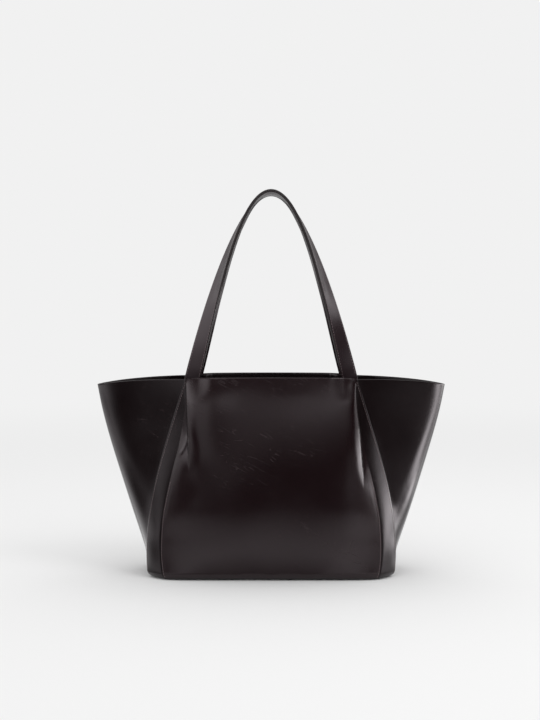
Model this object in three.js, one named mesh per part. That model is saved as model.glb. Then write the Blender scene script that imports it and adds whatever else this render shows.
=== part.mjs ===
// A winged shopper bag of smooth dark leather, with two shoulder straps.
// Millimetres, +Z up, +X to the bag's right and -Y to its front. The origin is the centre of the base, on the floor.
// The front and the back are alike, so the back half is the front half turned half a turn about Z.
import * as THREE from "three";

// Sheet goods
const LEATHER = 1.6;
const FACING = 1.2;
const LINING = 0.8;
const BASE_BOARD = 2.5;
const PATCH = 0.8;
const GAP = 0.3;
const SEAM_GAP = 0.8;

// Body, as the front view shows it
const RIM_HEIGHT = 283;
const ROOT_DROP = 3;
const TIP_DROP = 13;
const PANEL_BASE_HALF = 150;
const PANEL_RIM_HALF = 120;
const STRIP_BASE_HALF = 175;
const STRIP_RIM_HALF = 121;
const GUSSET_TUCK = 8;
const TIP_RIM_HALF = 249.5;

// Body, front to back
const BASE_HALF_DEPTH = 75;
const BELLY_SWELL = 25;
const RIM_HALF_DEPTH = 57;
const STRIP_BASE_DEPTH = 43;
const STRIP_RIM_DEPTH = 49.5;
const BOTTOM_RADIUS = 10;

// Seams and pleats
const LAP = 6;
const PLEAT = 18;
const STRIP_BASE_ANGLE = 48.5;
const STRIP_RIM_ANGLE = 12;
const STRIP_BOW = 11;
const PANEL_END_ANGLE = 25;
const PLEAT_ANGLE = 88;
const CORNER_ANGLE = 33;

// Rim and lining
const FACING_DEPTH = 42;
const FACING_STEP_START = 72;
const FACING_STEP_END = 94;
const LINING_CLEARANCE = 9;

// Straps
const STRAP_WIDTH = 21.5;
const STRAP_CORE = 0.9;
const STRAP_BACKING = 1.1;
const STRAP_ROOT_HALF = 110.4;
const STRAP_DROP = 260.5;
const STRAP_LEG_LEAN = 24;
const STRAP_LEG_REACH = 94;
const STRAP_CROWN_REACH = 47;
const STRAP_TOP_APART = 13.5;
const STRAP_CROWN_ANGLE = 98;
const STRAP_CORE_INSET = 2;
const PLY_GAP = 0.45;
const ROOT_LIFT = 2.5;
const ROOT_GAP = 0.4;
const TAB_LENGTH = 38;
const TAB = 2.4;
const PATCH_WIDTH = 24;
const PATCH_LENGTH = 28;

// Magnetic snap
const SNAP_RADIUS = 9;
const SNAP_SOCKET_HEIGHT = 2.6;
const SNAP_STUD_HEIGHT = 1.6;
const SNAP_NOSE_RADIUS = 3.5;
const SNAP_NOSE_HEIGHT = 1.5;
const WASHER_RADIUS = 8;
const WASHER = 0.6;
const SNAP_BELOW_RIM = 26;

// How finely the curved sheets are cut up
const PANEL_STEPS = [0, 0.25, 0.45, 0.6, 0.72, 0.82, 0.9, 0.96, 1];
const GUSSET_STEPS = [0, 0.14, 0.3, 0.46, 0.62, 0.75, 0.85, 0.93, 1];
const WALL_ROWS = 10;
const ARC_STEPS = [0, 0.5, 1];
const BAND_ROWS = 2;
const LINING_ROWS = 6;
const STRIP_COLUMNS = 4;
const STRAP_STEPS = 64;

// Finishes
const DARK_LEATHER = new THREE.MeshStandardMaterial({ color: 0x24171a, roughness: 0.32, metalness: 0 });
const EDGE_LEATHER = new THREE.MeshStandardMaterial({ color: 0x2a1c1e, roughness: 0.45, metalness: 0 });
const LINING_CLOTH = new THREE.MeshStandardMaterial({ color: 0x2b2426, roughness: 0.9, metalness: 0 });
const FIBRE_BOARD = new THREE.MeshStandardMaterial({ color: 0x6b5a48, roughness: 0.95, metalness: 0 });
const NICKEL = new THREE.MeshStandardMaterial({ color: 0xb9b4ab, roughness: 0.3, metalness: 1 });

const { lerp, smoothstep, degToRad } = THREE.MathUtils;

function bezier(start, startHandle, endHandle, end, t) {
  const r = 1 - t;
  return start * r ** 3 + 3 * startHandle * t * r ** 2 + 3 * endHandle * t ** 2 * r + end * t ** 3;
}

function heading(angle) {
  return new THREE.Vector2(Math.cos(degToRad(angle)), Math.sin(degToRad(angle)));
}

// The side that faces out of the bag for someone who walks round it with the bag on the left.
function outward(angle) {
  return new THREE.Vector2(Math.sin(degToRad(angle)), -Math.cos(degToRad(angle)));
}

// A grid of points moved into the bag: columns run anticlockwise round the bag, rows run up.
function inset(columns, depth) {
  const along = new THREE.Vector3();
  const rise = new THREE.Vector3();
  const last = columns.length - 1;
  return columns.map((column, i) =>
    column.map((point, j) => {
      along.subVectors(columns[Math.min(i + 1, last)][j], columns[Math.max(i - 1, 0)][j]);
      rise.subVectors(column[Math.min(j + 1, column.length - 1)], column[Math.max(j - 1, 0)]);
      return point.clone().addScaledVector(along.clone().cross(rise).normalize(), -depth);
    }),
  );
}

// A closed solid of even thickness, with the grid as its outer face.
function sheet(columns, thickness) {
  const across = columns.length;
  const up = columns[0].length;
  const outer = columns.flat();
  const inner = inset(columns, thickness).flat();
  const triangles = [];
  const back = outer.length;
  const at = (i, j) => i * up + j;
  const quad = (a, b, c, d) => triangles.push(a, b, c, a, c, d);
  for (let i = 0; i < across - 1; i++) {
    for (let j = 0; j < up - 1; j++) {
      const corners = [at(i, j), at(i + 1, j), at(i + 1, j + 1), at(i, j + 1)];
      quad(...corners);
      quad(...corners.reverse().map((k) => k + back));
    }
    quad(at(i + 1, 0), at(i, 0), at(i, 0) + back, at(i + 1, 0) + back);
    quad(at(i, up - 1), at(i + 1, up - 1), at(i + 1, up - 1) + back, at(i, up - 1) + back);
  }
  for (let j = 0; j < up - 1; j++) {
    quad(at(0, j), at(0, j + 1), at(0, j + 1) + back, at(0, j) + back);
    quad(at(across - 1, j + 1), at(across - 1, j), at(across - 1, j) + back, at(across - 1, j + 1) + back);
  }
  const geometry = new THREE.BufferGeometry().setFromPoints([...outer, ...inner]);
  geometry.setIndex(triangles);
  geometry.computeVertexNormals();
  return geometry;
}

function piece(name, geometry, material) {
  const mesh = new THREE.Mesh(geometry, material);
  mesh.name = name;
  return mesh;
}

// Seam lines: v runs from 0 at the base to 1 at the rim
function panelEdge(v) {
  const outRun = PANEL_BASE_HALF + 22;
  const inRun = PANEL_RIM_HALF - 8;
  return bezier(PANEL_BASE_HALF, outRun, inRun, PANEL_RIM_HALF, v);
}

function stripAngle(v) {
  return lerp(STRIP_BASE_ANGLE, STRIP_RIM_ANGLE, v);
}

function stripBow(v) {
  return STRIP_BOW * (1 - v);
}

function stripEdge(v) {
  const outRun = STRIP_BASE_HALF + 10;
  const inRun = STRIP_RIM_HALF + 29;
  const x = bezier(STRIP_BASE_HALF, outRun, inRun, STRIP_RIM_HALF, v);
  return new THREE.Vector2(x, -lerp(STRIP_BASE_DEPTH, STRIP_RIM_DEPTH, v));
}

// The point of the strip's flat line, at that distance from the bag's middle.
function onStrip(x, v) {
  const edge = stripEdge(v);
  return new THREE.Vector2(x, edge.y - (edge.x - x) * Math.tan(degToRad(stripAngle(v))));
}

function panelEndAngle(v) {
  return lerp(PANEL_END_ANGLE, PLEAT_ANGLE, smoothstep(v, 0.25, 0.72));
}

const TIP_BASE_HALF = STRIP_BASE_HALF - GUSSET_TUCK;

function wingTip(v) {
  return bezier(TIP_BASE_HALF, TIP_BASE_HALF + 34, TIP_RIM_HALF - 16.5, TIP_RIM_HALF, v);
}

// Plan curves: each gives the point at height v and the way the bottom edge rolls under there
function panelPlan(u, v) {
  const half = Math.abs(u);
  const edge = panelEdge(v);
  const middle = -bezier(
    BASE_HALF_DEPTH,
    BASE_HALF_DEPTH + BELLY_SWELL - 2,
    RIM_HALF_DEPTH + BELLY_SWELL * 1.8,
    RIM_HALF_DEPTH,
    v,
  );
  const endAngle = panelEndAngle(v);
  const tilt = Math.cos(degToRad(endAngle - stripAngle(v)));
  const lift = smoothstep(v, 0.2, 0.36) * (2 * GAP + LEATHER * Math.max(0, tilt));
  const end = onStrip(edge, v).addScaledVector(outward(stripAngle(v)), lift);
  const swell = end.y - middle;
  const handle = end.clone().addScaledVector(heading(endAngle), -lerp(20, 0.72 * swell + 3, smoothstep(v, 0.2, 0.7)));
  const x = bezier(0, 0.55 * edge, Math.max(handle.x, 0.6 * edge), end.x, half);
  const y = bezier(middle, middle, Math.max(handle.y, middle - 1), end.y, half);
  const roll = lerp(0, CORNER_ANGLE, smoothstep(half, 0.55, 1));
  const side = Math.sign(u);
  return { point: new THREE.Vector2(side * x, y), roll: outward(roll).multiply(new THREE.Vector2(side, 1)) };
}

function panelRim(u) {
  return RIM_HEIGHT - ROOT_DROP * u * u;
}

function stripPlan(u, v) {
  const edge = stripEdge(v);
  const under = lerp(-SEAM_GAP, PLEAT, smoothstep(v, 0.42, 0.95));
  const start = onStrip(panelEdge(v) - under, v);
  const chord = edge.clone().sub(start);
  const bulge = u * (1 - u) * Math.tan(degToRad(stripBow(v))) * chord.length();
  const point = start.clone().addScaledVector(chord, u).addScaledVector(outward(stripAngle(v)), bulge);
  return { point, roll: outward(lerp(CORNER_ANGLE, stripAngle(v) + stripBow(v), u)), length: chord.length() };
}

function stripRim() {
  return RIM_HEIGHT - ROOT_DROP;
}

// From behind the front strip (0) round the wing's fold (0.5) to behind the back strip (1)
function gussetPlan(u, v) {
  const half = 1 - Math.abs(2 * u - 1);
  const lap = LAP / stripPlan(1, v).length;
  const angle = stripAngle(v) + stripBow(v) * (1 - 2 * lap);
  const tip = new THREE.Vector2(wingTip(v), 0);
  const start = stripPlan(1 - lap, v).point.addScaledVector(outward(angle), -LEATHER - 2 * GAP);
  const reach = start.distanceTo(tip) - LAP;
  const leave = start.clone().addScaledVector(heading(angle), LAP + reach * lerp(0.3, 0.62, v));
  const fold = -reach * lerp(0.4, 0.14, v);
  const x = bezier(start.x, leave.x, tip.x, tip.x, half);
  const y = bezier(start.y, leave.y, fold, 0, half);
  const way = new THREE.Vector2(1, u > 0.5 ? -1 : 1);
  return { point: new THREE.Vector2(x, y).multiply(way), roll: outward(lerp(angle, 90, half)).multiply(way) };
}

function gussetRim(u) {
  const half = 1 - Math.abs(2 * u - 1);
  return RIM_HEIGHT - lerp(ROOT_DROP, TIP_DROP, smoothstep(half, 0, 1));
}

// One column of a wall: it rolls under at the bottom and then stands up to the rim
function wallColumn(plan, rim, u, lift = 0) {
  const radius = BOTTOM_RADIUS - lift;
  const height = rim(u);
  const column = [];
  for (const step of ARC_STEPS) {
    const turn = (step * Math.PI) / 2;
    const z = lift + radius * (1 - Math.cos(turn));
    const { point, roll } = plan(u, z / height);
    point.addScaledVector(roll, -radius * (1 - Math.sin(turn)));
    column.push(new THREE.Vector3(point.x, point.y, z));
  }
  for (let row = 1; row <= WALL_ROWS; row++) {
    const z = lerp(BOTTOM_RADIUS, height, row / WALL_ROWS);
    const { point } = plan(u, z / height);
    column.push(new THREE.Vector3(point.x, point.y, z));
  }
  return column;
}

function bothSides(steps) {
  return [...steps.slice(1).reverse().map((step) => -step), ...steps];
}

const PANEL_COLUMNS = bothSides(PANEL_STEPS);
const GUSSET_COLUMNS = bothSides(GUSSET_STEPS.map((step) => 1 - step).reverse()).map((step) => (1 + step) / 2);

function panel(name) {
  return piece(name, sheet(PANEL_COLUMNS.map((u) => wallColumn(panelPlan, panelRim, u)), LEATHER), DARK_LEATHER);
}

function strip(name, side) {
  const columns = [];
  for (let i = 0; i <= STRIP_COLUMNS; i++) {
    columns.push(wallColumn(stripPlan, stripRim, i / STRIP_COLUMNS));
  }
  if (side < 0) {
    columns.forEach((column) => column.forEach((point) => (point.x = -point.x)));
    columns.reverse();
  }
  return piece(name, sheet(columns, LEATHER), DARK_LEATHER);
}

const GUSSET_LIFT = LEATHER + 2 * GAP;

function gusset(name) {
  const columns = GUSSET_COLUMNS.map((u) => wallColumn(gussetPlan, gussetRim, u, GUSSET_LIFT));
  return piece(name, sheet(columns, LEATHER), DARK_LEATHER);
}

// Where the strap ends are sewn in: behind the strip and the gusset's lap, in front of the facing
const LEG_ANGLE = Math.atan2(STRAP_LEG_LEAN, STRAP_LEG_REACH);
const ROOT_Z = RIM_HEIGHT - ROOT_DROP + ROOT_LIFT;
const TAB_FRONT = -STRIP_RIM_DEPTH + (2 * LEATHER + 5 * GAP) / Math.cos(degToRad(STRIP_RIM_ANGLE));
const TAB_MIDDLE = TAB_FRONT + TAB / 2;
const PATCH_MIDDLE = TAB_FRONT + TAB + GAP + PATCH / 2;
const FACING_ROOT = PATCH_MIDDLE + PATCH / 2 + GAP;
const FACING_MIDDLE = -RIM_HALF_DEPTH + 1.2 * LEATHER + 2 * GAP;

// The facing lies against the panel in the middle and steps back behind the strap ends
function facingPoint(u, z) {
  const half = Math.abs(u);
  const end = stripEdge(z / stripRim()).x;
  const marks = [0, 0.5 * FACING_STEP_START, FACING_STEP_START, lerp(FACING_STEP_START, FACING_STEP_END, 0.5)];
  marks.push(FACING_STEP_END, lerp(FACING_STEP_END, end, 0.5), end);
  const place = half * (marks.length - 1);
  const before = Math.min(Math.floor(place), marks.length - 2);
  const x = lerp(marks[before], marks[before + 1], place - before);
  const y = lerp(FACING_MIDDLE, FACING_ROOT, smoothstep(x, FACING_STEP_START, FACING_STEP_END));
  return new THREE.Vector3(Math.sign(u) * x, y, z);
}

const FACING_COLUMNS = bothSides([0, 1, 2, 3, 4, 5, 6].map((mark) => mark / 6));
const FACING_FOOT = RIM_HEIGHT - FACING_DEPTH;

function facing(name) {
  const columns = FACING_COLUMNS.map((u) => {
    const column = [];
    for (let row = 0; row <= BAND_ROWS; row++) {
      const z = lerp(FACING_FOOT, panelRim(u), row / BAND_ROWS);
      column.push(facingPoint(u, z));
    }
    return column;
  });
  return piece(name, sheet(columns, FACING), DARK_LEATHER);
}

// The gusset's inner sheets start where the front sheets end
function wingStart(z) {
  const from = stripEdge(z / stripRim()).x + 2 * SEAM_GAP;
  let low = 0;
  let high = 0.5;
  for (let round = 0; round < 24; round++) {
    const middle = (low + high) / 2;
    const { point } = gussetPlan(middle, z / gussetRim(middle));
    if (point.x < from) low = middle;
    else high = middle;
  }
  return high;
}

const WING_START = wingStart(FACING_FOOT);
const WING_COLUMNS = [
  WING_START,
  ...GUSSET_COLUMNS.filter((u) => Math.abs(u - 0.5) < 0.49 - WING_START),
  1 - WING_START,
];

function wingColumn(u, footDrop) {
  const rim = gussetRim(u);
  const foot = rim - FACING_DEPTH - footDrop;
  const column = [];
  for (let row = 0; row <= BAND_ROWS; row++) {
    const z = lerp(foot, rim, row / BAND_ROWS);
    const { point } = gussetPlan(u, z / rim);
    column.push(new THREE.Vector3(point.x, point.y, z));
  }
  return column;
}

function gussetFacing(name) {
  const outside = WING_COLUMNS.map((u) => wingColumn(u, 0));
  return piece(name, sheet(inset(outside, LEATHER + 3 * GAP), FACING), DARK_LEATHER);
}

// Linings hang straight from the facings to the base
const BOARD_FOOT = LEATHER + GAP;
const LINING_FLOOR = BOARD_FOOT + BASE_BOARD + GAP;
const LINING_FOOT = LINING_FLOOR + LINING + GAP;
const LINING_CORNER = new THREE.Vector2(STRIP_BASE_HALF - LINING_CLEARANCE, -STRIP_BASE_DEPTH);

function ruled(feet, heads) {
  return feet.map((foot, i) => {
    const column = [];
    for (let row = 0; row <= LINING_ROWS; row++) {
      column.push(foot.clone().lerp(heads[i], row / LINING_ROWS));
    }
    return column;
  });
}

function lining(name) {
  const depth = -BASE_HALF_DEPTH + LINING_CLEARANCE;
  const feet = FACING_COLUMNS.map((u) => {
    const half = Math.abs(u);
    const x = bezier(0, 0.7 * LINING_CORNER.x, 0.9 * LINING_CORNER.x, LINING_CORNER.x, half);
    const y = bezier(depth, depth, depth, LINING_CORNER.y, half);
    return new THREE.Vector3(Math.sign(u) * x, y, LINING_FOOT);
  });
  const heads = FACING_COLUMNS.map((u) => facingPoint(u, FACING_FOOT - GAP));
  return piece(name, sheet(ruled(feet, heads), LINING), LINING_CLOTH);
}

function gussetLining(name) {
  const side = TIP_BASE_HALF - LINING_CLEARANCE;
  const corner = LINING_CORNER.clone().add(new THREE.Vector2(SEAM_GAP, 2 * SEAM_GAP));
  const feet = WING_COLUMNS.map((u) => {
    const half = (0.5 - Math.abs(u - 0.5) - WING_START) / (0.5 - WING_START);
    const x = bezier(corner.x, corner.x, side, side, half);
    const y = bezier(corner.y, 0.7 * corner.y, 0.35 * corner.y, 0, half);
    return new THREE.Vector3(x, u > 0.5 ? -y : y, LINING_FOOT);
  });
  const outside = WING_COLUMNS.map((u) => wingColumn(u, GAP));
  const heads = inset(outside, LEATHER + 3 * GAP).map((column) => column[0]);
  return piece(name, sheet(ruled(feet, heads), LINING), LINING_CLOTH);
}

// Flat pieces of the base, cut to the outline of the walls less a margin
function baseOutline(margin) {
  const shrunk = ({ point, roll }) => point.addScaledVector(roll, -margin);
  const quarter = [
    ...PANEL_STEPS.slice(1).map((u) => shrunk(panelPlan(u, 0))),
    ...[0.5, 1].map((u) => shrunk(stripPlan(u, 0))),
    ...GUSSET_STEPS.slice(3, -1).map((step) => shrunk(gussetPlan(step / 2, 0))),
  ];
  const toBack = quarter.map((point) => new THREE.Vector2(point.x, -point.y)).reverse();
  const half = [...quarter, shrunk(gussetPlan(0.5, 0)), ...toBack];
  return [...half, ...half.map((point) => point.clone().negate())];
}

function basePiece(name, margin, foot, thickness, material) {
  const shape = new THREE.Shape(baseOutline(margin));
  const mesh = piece(name, new THREE.ExtrudeGeometry(shape, { depth: thickness, bevelEnabled: false }), material);
  mesh.position.z = foot;
  return mesh;
}

// A strap lies in a leaning plane; it faces the front at its ends and turns to face up over the top
const STRAP_THICK = LEATHER + STRAP_CORE + STRAP_BACKING + 2 * PLY_GAP;
const STRAP_LEAN = Math.atan2(-STRAP_TOP_APART - TAB_MIDDLE, STRAP_DROP);
const STRAP_FRONT = new THREE.Vector3(0, -Math.cos(STRAP_LEAN), Math.sin(STRAP_LEAN));
const STRAP_UP = new THREE.Vector3(0, Math.sin(STRAP_LEAN), Math.cos(STRAP_LEAN));

function strapCentre(s) {
  const t = 1 - Math.abs(s);
  const x = bezier(STRAP_ROOT_HALF, STRAP_ROOT_HALF - STRAP_LEG_LEAN, STRAP_CROWN_REACH, 0, t);
  const rise = bezier(0, STRAP_LEG_REACH, STRAP_DROP, STRAP_DROP, t) / Math.cos(STRAP_LEAN);
  return new THREE.Vector3(Math.sign(s) * x, TAB_MIDDLE, ROOT_Z).addScaledVector(STRAP_UP, rise);
}

function strapFrame(s) {
  const step = 0.5 / STRAP_STEPS;
  const ahead = strapCentre(Math.min(s + step, 1));
  const tangent = ahead.sub(strapCentre(Math.max(s - step, -1))).normalize();
  const outer = STRAP_FRONT.clone().cross(tangent);
  const twist = degToRad(STRAP_CROWN_ANGLE) * (1 - Math.abs(s) ** 1.6);
  const normal = STRAP_FRONT.clone().multiplyScalar(Math.cos(twist)).addScaledVector(outer, Math.sin(twist));
  return { centre: strapCentre(s), normal, width: tangent.clone().cross(normal) };
}

function strapLayer(name, top, thickness, width, material) {
  const columns = [];
  for (let i = 0; i <= STRAP_STEPS; i++) {
    const frame = strapFrame((2 * i) / STRAP_STEPS - 1);
    frame.centre.addScaledVector(frame.normal, top);
    const edge = (side) => frame.centre.clone().addScaledVector(frame.width, (side * width) / 2);
    columns.push([edge(1), edge(0), edge(-1)]);
  }
  return piece(name, sheet(columns, thickness), material);
}

function rootPlate(name, side, width, thickness, length, middle, top, material) {
  const mesh = piece(name, new THREE.BoxGeometry(width, thickness, length), material);
  mesh.position.set(0, middle, -top - length / 2);
  const root = new THREE.Group();
  root.position.set(side * STRAP_ROOT_HALF, 0, ROOT_Z);
  root.rotation.y = -side * LEG_ANGLE;
  root.add(mesh);
  return root;
}

// Each half of the snap is turned about the Y axis and stands on the facing
function turned(name, outline, foot) {
  const points = outline.map(([radius, height]) => new THREE.Vector2(radius, height));
  const mesh = piece(name, new THREE.LatheGeometry(points, 24), NICKEL);
  mesh.position.set(0, foot, RIM_HEIGHT - SNAP_BELOW_RIM);
  return mesh;
}

function snapSocket(name) {
  const well = SNAP_NOSE_RADIUS + GAP;
  const floor = SNAP_SOCKET_HEIGHT - SNAP_NOSE_HEIGHT - GAP;
  const outline = [[0, floor], [0, 0], [SNAP_RADIUS, 0], [SNAP_RADIUS, SNAP_SOCKET_HEIGHT]];
  outline.push([well, SNAP_SOCKET_HEIGHT], [well, floor], [0, floor]);
  return turned(name, outline.slice(1), FACING_MIDDLE + FACING + GAP);
}

function snapStud(name) {
  const nose = SNAP_STUD_HEIGHT + SNAP_NOSE_HEIGHT;
  const outline = [[0, 0], [SNAP_RADIUS, 0], [SNAP_RADIUS, SNAP_STUD_HEIGHT], [SNAP_NOSE_RADIUS, SNAP_STUD_HEIGHT]];
  outline.push([SNAP_NOSE_RADIUS, nose], [0, nose]);
  return turned(name, outline, FACING_MIDDLE + FACING + GAP);
}

function snapWasher(name) {
  const outline = [[0, 0], [WASHER_RADIUS, 0], [WASHER_RADIUS, WASHER], [0, WASHER]];
  return turned(name, outline, FACING_MIDDLE - GAP - WASHER);
}

// One half of the bag, as seen from its own front
function half(face, onLeft, onRight) {
  const group = new THREE.Group();
  group.add(panel(`${face}_panel`), facing(`${face}_facing`), lining(`${face}_lining`));
  for (const [name, side] of [[onLeft, -1], [onRight, 1]]) {
    group.add(strip(`${face}_${name}_strip`, side));
    group.add(rootPlate(`${face}_${name}_strap_tab`, side, STRAP_WIDTH, TAB, TAB_LENGTH, TAB_MIDDLE, ROOT_GAP, DARK_LEATHER));
    const below = TAB_LENGTH - PATCH_LENGTH;
    group.add(
      rootPlate(`${face}_${name}_patch`, side, PATCH_WIDTH, PATCH, PATCH_LENGTH, PATCH_MIDDLE, below, EDGE_LEATHER),
    );
  }
  const under = STRAP_THICK / 2 - LEATHER - PLY_GAP;
  group.add(strapLayer(`${face}_strap_face`, STRAP_THICK / 2, LEATHER, STRAP_WIDTH, DARK_LEATHER));
  group.add(strapLayer(`${face}_strap_core`, under, STRAP_CORE, STRAP_WIDTH - 2 * STRAP_CORE_INSET, EDGE_LEATHER));
  group.add(strapLayer(`${face}_strap_backing`, under - STRAP_CORE - PLY_GAP, STRAP_BACKING, STRAP_WIDTH, DARK_LEATHER));
  group.add(snapWasher(`${face}_snap_washer`));
  return group;
}

function wing(side) {
  const group = new THREE.Group();
  group.add(gusset(`${side}_gusset`), gussetFacing(`${side}_facing`), gussetLining(`${side}_lining`));
  return group;
}

const front = half("front", "left", "right");
front.add(snapSocket("snap_socket"));
const back = half("back", "right", "left");
back.add(snapStud("snap_stud"));
back.rotation.z = Math.PI;
const right = wing("right");
const left = wing("left");
left.rotation.z = Math.PI;

const bag = new THREE.Group();
bag.add(front, back, left, right);
bag.add(basePiece("bottom_panel", BOTTOM_RADIUS + SEAM_GAP, 0, LEATHER, DARK_LEATHER));
bag.add(basePiece("base_board", BOTTOM_RADIUS + LEATHER, BOARD_FOOT, BASE_BOARD, FIBRE_BOARD));
bag.add(basePiece("bottom_lining", LINING_CLEARANCE + LINING, LINING_FLOOR, LINING, LINING_CLOTH));
export default bag;
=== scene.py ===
# %% [markdown]
# # A winged shopper bag in smooth dark leather
# The bag is sewn from flat cut pieces: a bulging panel at the front and the back, a narrow strip beside
# each panel, two gussets that flare out as wings, a base, and two straps sewn in behind the rim. Every
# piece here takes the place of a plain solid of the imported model, in the same frame: metres, +Z up, the
# front towards -Y.

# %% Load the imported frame
import math

import bpy
import numpy as np
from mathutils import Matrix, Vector


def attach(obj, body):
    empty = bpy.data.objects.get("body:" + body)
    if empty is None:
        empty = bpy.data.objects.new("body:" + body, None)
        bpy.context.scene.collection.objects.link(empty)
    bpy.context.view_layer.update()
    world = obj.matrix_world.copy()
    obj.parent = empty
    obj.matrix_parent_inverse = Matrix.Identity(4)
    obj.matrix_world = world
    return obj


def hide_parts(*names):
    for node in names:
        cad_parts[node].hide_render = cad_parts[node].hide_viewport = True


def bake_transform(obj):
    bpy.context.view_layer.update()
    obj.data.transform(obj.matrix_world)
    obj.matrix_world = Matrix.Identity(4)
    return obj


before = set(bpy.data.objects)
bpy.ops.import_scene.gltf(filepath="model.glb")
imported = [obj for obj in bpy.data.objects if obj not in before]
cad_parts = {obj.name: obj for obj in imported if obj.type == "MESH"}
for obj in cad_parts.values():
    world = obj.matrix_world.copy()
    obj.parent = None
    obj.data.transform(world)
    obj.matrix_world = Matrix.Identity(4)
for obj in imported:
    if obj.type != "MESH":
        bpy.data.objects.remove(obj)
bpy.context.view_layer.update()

MM = 0.001


def deselect():
    if bpy.context.object and bpy.context.object.mode != "OBJECT":
        bpy.ops.object.mode_set(mode="OBJECT")
    bpy.ops.object.select_all(action="DESELECT")


# %% [markdown]
# ## Camera
# The photograph looks at the bag from two metres, a little above the rim, with a long lens. A lens is a
# distance on the sensor, so the photograph's focal length in pixels becomes millimetres through the height
# of the frame. The horizon lies above the middle of the frame, so the camera is tilted down by that angle.

# %% Camera
FRAME_HEIGHT = 720
FOCAL_PIXELS = 1395
HORIZON_ROW = 285
SENSOR = 36
CAMERA_PLACE = (-0.0016, -2.0, 0.412)

camera = bpy.data.objects.new("camera", bpy.data.cameras.new("camera"))
bpy.context.collection.objects.link(camera)
camera.data.sensor_fit = "VERTICAL"
camera.data.sensor_height = SENSOR
camera.data.lens = SENSOR * FOCAL_PIXELS / FRAME_HEIGHT
camera.location = CAMERA_PLACE
tilt = math.atan((FRAME_HEIGHT / 2 - HORIZON_ROW) / FOCAL_PIXELS)
camera.rotation_euler = (math.pi / 2 - tilt, 0, 0)
bpy.context.scene.camera = camera
print("camera lens", round(camera.data.lens, 1), "mm, tilted", round(math.degrees(tilt), 1), "degrees")

# %% [markdown]
# ## Helpers for finishes
# One function turns a colour as a painter would name it, a hex value, into the linear numbers that Blender
# reckons with. Another adds one node, sets its values and joins its inputs, so that each finish below reads
# as a list. An input is called by its name, or by its number after an underscore where several share a
# name.

# %% Colour and nodes


def linear(hex_colour, gain=1.0):
    channels = [int(hex_colour[k : k + 2], 16) / 255 for k in (1, 3, 5)]
    light = [c / 12.92 if c <= 0.04045 else ((c + 0.055) / 1.055) ** 2.4 for c in channels]
    return tuple(min(1.0, gain * c) for c in light) + (1.0,)


def fill(tree, made, inputs):
    for name, value in inputs.items():
        socket = made.inputs[int(name[1:])] if name[0] == "_" else made.inputs[name.replace("_", " ")]
        if isinstance(value, bpy.types.NodeSocket):
            tree.links.new(value, socket)
        else:
            socket.default_value = value
    return made


def node(material, kind, settings=(), **inputs):
    made = material.node_tree.nodes.new(kind)
    for name, value in dict(settings).items():
        setattr(made, name, value)
    return fill(material.node_tree, made, inputs)


def new_finish(name):
    material = bpy.data.materials.new(name)
    material.use_nodes = True
    return material


def dress(material, **inputs):
    fill(material.node_tree, material.node_tree.nodes["Principled BSDF"], inputs)
    return material


# %% [markdown]
# ## Box calf
# The outside is smooth, chrome-tanned calf with an aniline dye and a polished finish: a very dark burgundy
# that looks black until a lamp strikes it, under a half-gloss skin that mirrors the floor and the soft
# boxes. Its hair pores lie a few tenths of a millimetre apart; no camera at two metres sees them, so they
# are drawn at 0.9 mm. Handling leaves fine slanting creases in patches, and wear changes the gloss from
# place to place. The crease lines are also painted paler than the leather: a painted highlight along each
# crease.

# %% Creases from handling
CREASE_LENGTH = 62 * MM
CREASE_APART = 10 * MM
CREASE_SLANT = math.radians(27)
CREASE_SHARE = 0.011
HANDLED_PLACE = (-22 * MM, 0, 214 * MM)
HANDLED_REACH = 112 * MM
HANDLED_LIFT = 0.24


def crease_lines(material, place):
    """Thin slanting lines, drawn where a long, stretched noise crosses its own middle value."""
    slanted = node(
        material, "ShaderNodeMapping", {"vector_type": "TEXTURE"}, Vector=place,
        Rotation=(0, CREASE_SLANT, 0), Scale=(CREASE_LENGTH, CREASE_LENGTH, CREASE_APART),
    ).outputs[0]
    folds = node(
        material, "ShaderNodeTexNoise", Vector=slanted, Scale=1.0, Detail=1.0, Roughness=0.5, Distortion=0.5
    ).outputs[0]
    middle = node(material, "ShaderNodeMath", {"operation": "SUBTRACT"}, _0=folds, _1=0.5).outputs[0]
    away = node(material, "ShaderNodeMath", {"operation": "ABSOLUTE"}, _0=middle).outputs[0]
    return node(
        material, "ShaderNodeMapRange", Value=away, _1=0.0, _2=CREASE_SHARE, _3=1.0, _4=0.0
    ).outputs[0]


def handled(material, place):
    """Strongest where a hand rests on the upper panel and nothing beyond its reach; depth is not counted."""
    from_hand = node(
        material, "ShaderNodeMapping", {"vector_type": "TEXTURE"}, Vector=place, Location=HANDLED_PLACE
    ).outputs[0]
    flat = node(
        material, "ShaderNodeVectorMath", {"operation": "MULTIPLY"}, _0=from_hand, _1=(1, 0, 1)
    ).outputs[0]
    far = node(material, "ShaderNodeVectorMath", {"operation": "LENGTH"}, _0=flat).outputs["Value"]
    return node(
        material, "ShaderNodeMapRange", {"interpolation_type": "SMOOTHSTEP"}, Value=far,
        _1=0.25 * HANDLED_REACH, _2=HANDLED_REACH, _3=HANDLED_LIFT, _4=0.0,
    ).outputs[0]


def creases_in_patches(material, place, clouds, pebbles):
    """The lines broken into short pieces, and only in the patches that the clouds and the handling share."""
    lines = crease_lines(material, place)
    lifted = node(
        material, "ShaderNodeMath", {"operation": "ADD"}, _0=clouds, _1=handled(material, place)
    ).outputs[0]
    patches = node(material, "ShaderNodeMapRange", Value=lifted, _1=0.5, _2=0.76).outputs[0]
    broken = node(material, "ShaderNodeMapRange", Value=pebbles, _1=0.47, _2=0.58).outputs[0]
    short = node(material, "ShaderNodeMath", {"operation": "MULTIPLY"}, _0=lines, _1=broken).outputs[0]
    return node(material, "ShaderNodeMath", {"operation": "MULTIPLY"}, _0=short, _1=patches).outputs[0]


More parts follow.
